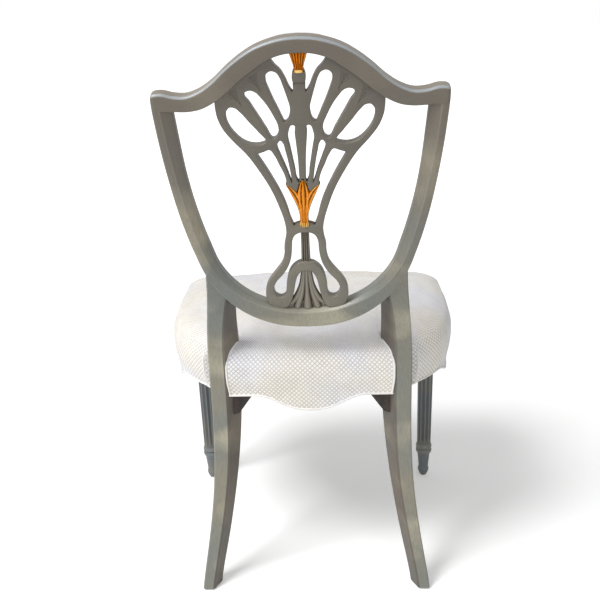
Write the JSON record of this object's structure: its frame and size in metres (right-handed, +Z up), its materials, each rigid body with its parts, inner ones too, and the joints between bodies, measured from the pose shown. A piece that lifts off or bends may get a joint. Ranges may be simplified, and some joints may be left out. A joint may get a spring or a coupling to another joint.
{
  "type": "shield back chair",
  "caption": "Side chair with a carved shield back, pierced splat, sabre rear legs, fluted front legs and a stuffed, fully covered seat.",
  "frame": {"origin": "middle of the chair's box, on the floor", "axes": "+X to the sitter's left, +Y to the back of the chair, +Z up"},
  "size_m": [0.5332, 0.5237, 0.9771],
  "materials": {
    "glazed_wood": "satin painted glaze",
    "gilding": "antiqued gold leaf",
    "seat_fabric": "pale woven cloth",
    "stuffing": "stuffed hair and wadding",
    "webbing": "jute webbing",
    "dust_cloth": "black linen",
    "frame_wood": "bare beech",
    "dark_wood": "dark stain",
    "steel": "plain steel"
  },
  "bodies": {
    "root": {"corner_block_front_left": "frame_wood", "corner_block_front_right": "frame_wood", "corner_block_rear_left": "frame_wood", "corner_block_rear_right": "frame_wood", "corner_block_screws": "steel", "crest_rail": "glazed_wood", "dust_cover": "dust_cloth", "foot_glides": "steel", "front_leg_left": "glazed_wood", "front_leg_right": "glazed_wood", "gilt_lotus": "gilding", "gilt_tassel": "gilding", "rear_bracket_left": "dark_wood", "rear_bracket_right": "dark_wood", "rear_leg_left": "glazed_wood", "rear_leg_right": "glazed_wood", "seat_cover": "seat_fabric", "seat_rail_front": "frame_wood", "seat_rail_left": "frame_wood", "seat_rail_rear": "frame_wood", "seat_rail_right": "frame_wood", "seat_stuffing": "stuffing", "seat_webbing": "webbing", "shield_base_rail": "glazed_wood", "shield_dowels": "frame_wood", "shield_stile_left": "glazed_wood", "shield_stile_right": "glazed_wood", "splat_fret": "glazed_wood", "splat_plume": "glazed_wood", "splat_stem": "glazed_wood"}
  },
  "joints": []
}
